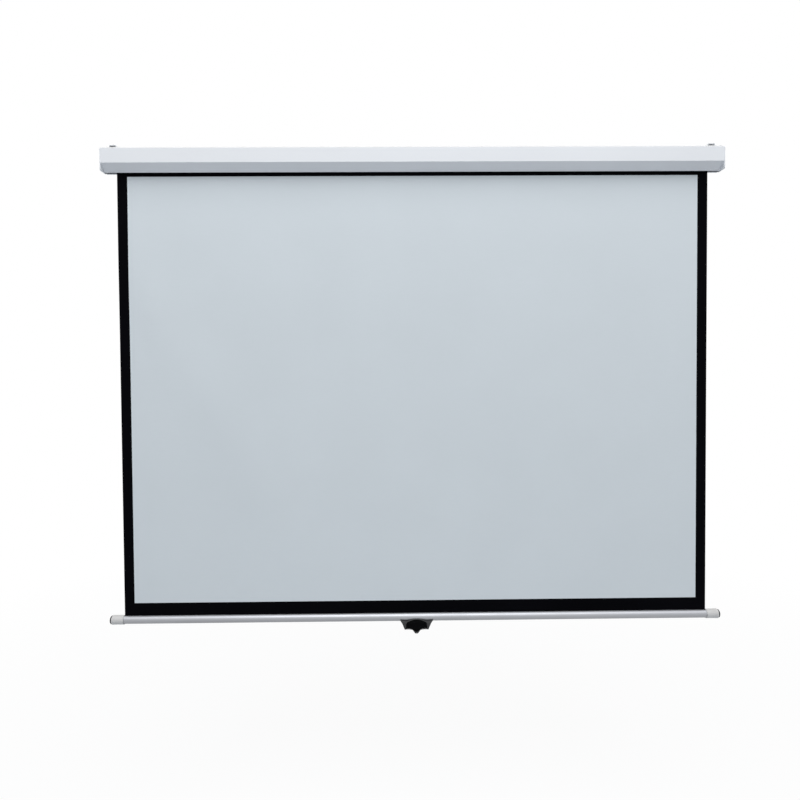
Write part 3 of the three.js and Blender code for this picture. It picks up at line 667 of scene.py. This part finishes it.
def build_hem():
    """The bottom border and its loop round the rod. Its flat back above the loop shows the backing."""
    neck = math.asin(half_thick / hem_radius)
    loop = arc(hem_radius + half_thick, math.pi / 2 + neck, math.pi / 2 - neck + TURN, HEM_STEPS,
               rod.y, rod.z)
    outline = [(rod.y + half_thick, sheet_foot), (rod.y - half_thick, sheet_foot)] + loop
    hole = circle(hem_radius - half_thick, HEM_STEPS, rod.y, rod.z)
    bm = bmesh.new()
    along_x(bm, [outline, hole], sheet_left, sheet_right)
    made = make_object("sheet_foot", bm, [border_cloth, backing_cloth], "bar",
                       CLOTH_SHARP)
    for face in made.data.polygons:
        if face.normal.y > FACING_BACK and face.center.z > rod.z + 2 * hem_radius:
            face.material_index = 1
    return made


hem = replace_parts(build_hem(), "border_bottom")
bm = bmesh.new()
rod_end_round = 0.6 * MM
rod_length = rod_high.x - rod_low.x
rod_half = [(0, 0), (rod_radius, 0), (rod_radius, rod_length), (0, rod_length)]
rod_end = Vector((rod_low.x, rod.y, rod.z))
turned(bm, softened(rod_half, rod_end_round), ROD_STEPS, rod_end, Vector((1, 0, 0)))
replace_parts(make_object("hem_rod_finish", bm, [nylon], "bar", 40), "hem_rod")


# Bottom bar: a drawn aluminium section with its hem channel, and its end pieces

bar_low, bar_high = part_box("weight_bar")
bar = middle("weight_bar")
bar.z = (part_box("bar_plug_left")[0].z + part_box("bar_plug_left")[1].z) / 2
bar_radius = (bar_high.y - bar_low.y) / 2
CHANNEL = {"radius": 3.7 * MM, "up": 6.2 * MM, "slot": 0.9 * MM, "lip": 0.35 * MM}
HOLLOW = {"radius": 5.6 * MM, "drop": 4.6 * MM}
BAR_STEPS, CHANNEL_STEPS, HOLLOW_STEPS, END_STEPS = 120, 40, 48, 80


def build_bar():
    """A round section with an open channel for the hem above and a closed hollow below."""
    rim = math.asin(CHANNEL["slot"] / bar_radius)
    throat = math.asin(CHANNEL["slot"] / CHANNEL["radius"])
    quarter = math.pi / 2
    lip = CHANNEL["lip"] / bar_radius
    slot_top = bar.z + bar_radius * math.cos(rim) - CHANNEL["lip"]
    left_lip, right_lip = (bar.y - CHANNEL["slot"], slot_top), (bar.y + CHANNEL["slot"], slot_top)
    outer = arc(bar_radius, quarter + rim + lip, quarter - rim - lip + TURN, BAR_STEPS, bar.y, bar.z)
    inner = arc(CHANNEL["radius"], quarter - throat, quarter + throat - TURN, CHANNEL_STEPS,
                bar.y, bar.z + CHANNEL["up"])
    loops = [outer + [right_lip] + inner + [left_lip],
             circle(HOLLOW["radius"], HOLLOW_STEPS, bar.y, bar.z - HOLLOW["drop"])]
    bm = bmesh.new()
    along_x(bm, loops, bar_low.x, bar_high.x)
    return make_object("weight_bar_finish", bm, [aluminium], "bar", ROUND_SHARP)


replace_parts(build_bar(), "weight_bar")


def build_sleeve(side, outward):
    """A moulded collar over the bar's end: thin-walled, flared, with a moulding line round its mouth."""
    low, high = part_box(f"bar_sleeve_{side}")
    radius = (high.z - low.z) / 2
    mouth = radius - 0.5 * MM
    line = mouth - 0.35 * MM
    length = high.x - low.x
    inside = bar_radius + 0.12 * MM
    closed = length - 3 * MM
    hole = 3.1 * MM
    profile = softened([
        (inside, 1.2 * MM), (inside + 0.35 * MM, 0), (mouth, 0), (mouth, 1.6 * MM), (line, 2 * MM),
        (line, 2.6 * MM), (mouth, 3 * MM), (mouth, length / 2), (radius, length - 1.4 * MM),
        (radius - 1.2 * MM, length), (hole, length), (hole, closed), (inside, closed), (inside, 1.2 * MM),
    ], 0.3 * MM, 3)
    start = Vector((low.x if outward.x > 0 else high.x, bar.y, bar.z))
    bm = bmesh.new()
    turned(bm, profile, END_STEPS, start, outward)
    made = make_object(f"bar_sleeve_{side}_finish", bm, [cream], "bar", ROUND_SHARP)
    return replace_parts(made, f"bar_sleeve_{side}")


def build_plug(side, outward):
    """A soft bumper in the end of the sleeve, with a shallow groove round its face."""
    low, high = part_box(f"bar_plug_{side}")
    radius = (high.z - low.z) / 2
    stem, stem_radius = 2.7 * MM, 3 * MM
    thick = high.x - low.x - stem
    groove = thick - 0.5 * MM
    profile = softened([
        (0, -stem), (stem_radius, -stem), (stem_radius, 0), (radius, 0), (radius, thick - 1.4 * MM),
        (radius - 1.6 * MM, thick), (radius * 0.62, thick), (radius * 0.60, groove),
        (radius * 0.54, groove), (radius * 0.52, thick), (0, thick),
    ], 0.5 * MM, 4)
    start = Vector((high.x - thick if outward.x > 0 else low.x + thick, bar.y, bar.z))
    bm = bmesh.new()
    turned(bm, profile, END_STEPS, start, outward)
    made = make_object(f"bar_plug_{side}_finish", bm, [rubber], "bar", ROUND_SHARP)
    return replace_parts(made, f"bar_plug_{side}")


for side, outward in out_of_case.items():
    build_sleeve(side, outward)
    build_plug(side, outward)


# Pull handle: the CAD shape with every edge softened, as a moulding has, its foot a little lower, as
# the photograph shows it, and a sunk panel on its front and back. The panel is a darker matt black,
# partly a matt finish and partly painted shade of its recess. The panel's outline runs down
# one side of the middle, from the bar's axis.
PANEL = [(across * MM, up * MM) for across, up in (
    (0, -2.6), (7, -3.4), (14, -5.4), (21, -8.6), (27.5, -12.0), (31.0, -16.0), (32.6, -22.0), (33.6, -36.2),
    (25, -35.4), (16.5, -36.4), (11.5, -40.0), (3, -47.6), (0, -47.6),
)]
PANEL_DEPTH = 1.3 * MM
PANEL_SLOPE = 1.3 * MM
# The least share of a point's normal that faces out of the front or back, and the least share of the full
# depth at which the panel takes its darker matt black, partly painted shade of the recess
PANEL_FACING, MATT_AND_SHADE_FROM = 0.4, 0.6
# How far below the bar's axis the foot and the lug's root lie, and how much they are moved
FOOT_FROM, LUG_FROM, LUG_TO = 32 * MM, 34.9 * MM, 36 * MM
FOOT_DROP, LUG_DROP, LUG_NARROWING = 4.8 * MM, 4.3 * MM, 0.84
# Edges are softened by cutting the shape into small cubes and then smoothing it
VOXEL, SMOOTH_FACTOR, SMOOTH_ROUNDS = 0.42 * MM, 0.5, 8


def inside_panel(across, up):
    """How far the point is inside the panel, or less than 0 outside it."""
    point = Vector((across, up, 0))
    nearest = 1.0
    inside = False
    for (x0, z0), (x1, z1) in zip(PANEL, PANEL[1:]):
        start, end = Vector((x0, z0, 0)), Vector((x1, z1, 0))
        share = (point - start).dot(end - start) / (end - start).length_squared
        nearest = min(nearest, (start.lerp(end, min(max(share, 0), 1)) - point).length)
        if (z0 > up) != (z1 > up) and across < x0 + (up - z0) * (x1 - x0) / (z1 - z0):
            inside = not inside
    return nearest if inside else -nearest


def build_handle():
    bm = cleaned("pull_handle")
    for vertex in bm.verts:
        below = bar.z - vertex.co.z
        if FOOT_FROM < below < LUG_FROM:
            vertex.co.z -= FOOT_DROP
        elif LUG_FROM < below < LUG_TO:
            vertex.co.z -= LUG_DROP
            vertex.co.x *= LUG_NARROWING
    made = make_object("pull_handle_finish", bm, [black_plastic], "bar", ROUND_SHARP)
    remesh = made.modifiers.new("remesh", "REMESH")
    remesh.mode = "VOXEL"
    remesh.voxel_size = VOXEL
    smooth = made.modifiers.new("smooth", "SMOOTH")
    smooth.factor = SMOOTH_FACTOR
    smooth.iterations = SMOOTH_ROUNDS
    bake_modifiers(made)
    made.data.materials.clear()
    made.data.materials.append(black_plastic)
    made.data.materials.append(matt_black_and_shade)
    sunk_shares = {}
    for vertex in made.data.vertices:
        outward = math.copysign(vertex.normal.y, vertex.normal.y * (vertex.co.y - bar.y))
        if outward > PANEL_FACING:
            depth = inside_panel(abs(vertex.co.x), vertex.co.z - bar.z)
            if depth > 0:
                sunk_shares[vertex.index] = min(depth / PANEL_SLOPE, 1)
    for index, share in sunk_shares.items():
        place = made.data.vertices[index].co
        place.y -= math.copysign(PANEL_DEPTH * share * share * (3 - 2 * share), place.y - bar.y)
    # Faces deep in the panel take the darker matt black, partly painted shade of the recess
    for face in made.data.polygons:
        face.use_smooth = True
        sunk = all(sunk_shares.get(index, 0) > MATT_AND_SHADE_FROM for index in face.vertices)
        face.material_index = 1 if sunk else 0
    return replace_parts(made, "pull_handle")


build_handle()


# Floor and light

FLOOR_LEVEL, FLOOR_HALF = -2.05, 30.0
FLOOR_COLOUR = (0.74, 0.78, 0.83, 1)
# The floor is this white where it is seen, from near the part to far from it
NEAR_WHITENESS, FAR_WHITENESS = 0.95, 1.0
NEAR, FAR = 2.2, 4.0
SKY_COLOUR, SKY_STRENGTH = (0.97, 0.985, 1.0, 1), 0.25
KEY_PLACE, KEY_TARGET, KEY_SIZE, KEY_POWER = (0.1, -2.7, 4.0), (0, 0, -0.4), (5.0, 3.6), 300


def build_floor():
    """A pale floor under the hanging screen. It is white to the camera but for a share of its shadows."""
    half = FLOOR_HALF
    bm = bmesh.new()
    corners = ((-half, -half), (half, -half), (half, half), (-half, half))
    bm.faces.new([bm.verts.new((x, y, FLOOR_LEVEL)) for x, y in corners])
    mesh = bpy.data.meshes.new("floor")
    bm.to_mesh(mesh)
    bm.free()
    floor = bpy.data.objects.new("floor", mesh)
    bpy.context.scene.collection.objects.link(floor)
    shader = Shader("floor_white")
    shader.set(Base_Color=mottled(shader, FLOOR_COLOUR, 0.01, 0.5), Roughness=0.9)
    place = shader.add("NewGeometry").outputs["Position"]
    distance = shader.add("VectorMath", {0: place}, operation="LENGTH").outputs["Value"]
    whiteness = shader.between(distance, NEAR_WHITENESS, FAR_WHITENESS, NEAR, FAR)
    white = shader.add("Emission", {"Color": WHITE, "Strength": 1.0})
    mixed = shader.add("MixShader", {0: shader.math("MULTIPLY", shader.seen_itself(), whiteness),
                                     1: shader.surface.outputs[0], 2: white})
    shader.feed(shader.tree.nodes["Material Output"].inputs["Surface"], mixed)
    mesh.materials.append(shader.material)


def build_world():
    """Even soft light from all round, and plain white wherever the background itself is seen."""
    world = bpy.data.worlds.new("world")
    bpy.context.scene.world = world
    world.use_nodes = True
    world.node_tree.nodes.clear()
    nodes = Nodes(world.node_tree)
    lighting = nodes.add("Background", {"Color": SKY_COLOUR, "Strength": SKY_STRENGTH})
    backdrop = nodes.add("Background", {"Color": WHITE, "Strength": 1.0})
    mixed = nodes.add("MixShader", {0: nodes.seen_itself(), 1: lighting, 2: backdrop})
    nodes.add("OutputWorld", {"Surface": mixed})


def area_light(name, place, target, size, power):
    lamp = bpy.data.lights.new(name, "AREA")
    lamp.shape = "RECTANGLE"
    lamp.size, lamp.size_y = size
    lamp.energy = power
    made = bpy.data.objects.new(name, lamp)
    made.location = place
    made.rotation_euler = (Vector(target) - Vector(place)).to_track_quat("-Z", "Y").to_euler()
    bpy.context.scene.collection.objects.link(made)


build_floor()
build_world()
area_light("key", KEY_PLACE, KEY_TARGET, KEY_SIZE, KEY_POWER)
